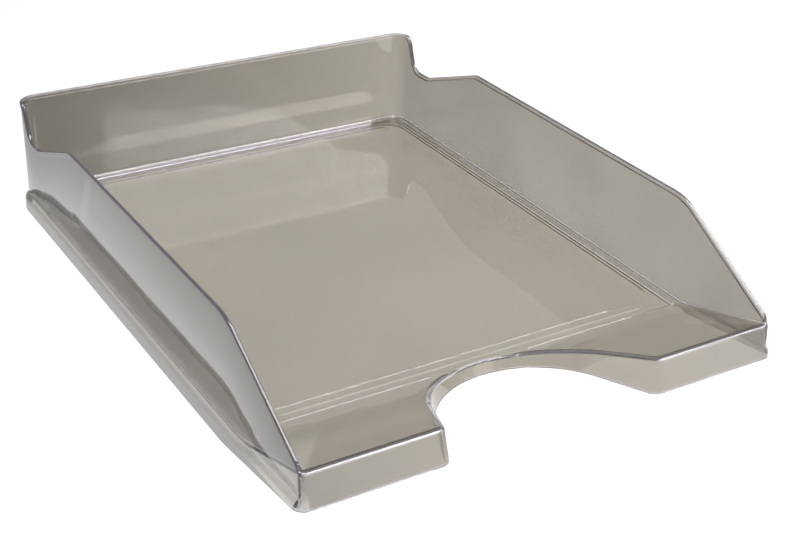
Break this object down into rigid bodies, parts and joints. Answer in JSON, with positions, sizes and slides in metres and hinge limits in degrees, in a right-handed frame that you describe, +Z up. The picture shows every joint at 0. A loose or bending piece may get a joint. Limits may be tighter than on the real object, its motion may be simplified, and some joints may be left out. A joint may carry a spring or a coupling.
{
  "type": "letter tray",
  "caption": "Open-front stackable letter tray for A4 sheets, with sloped side walls, a low front lip on a ramp and a finger notch",
  "frame": {"origin": "on the table, under the centre of the bounding box", "axes": "+X to the right, +Y to the closed back, +Z up"},
  "size_m": [0.255, 0.346, 0.065],
  "materials": {
    "smoky_polystyrene": "clear smoky, polished"
  },
  "bodies": {
    "root": {"tray_moulding": "smoky_polystyrene"}
  },
  "joints": []
}
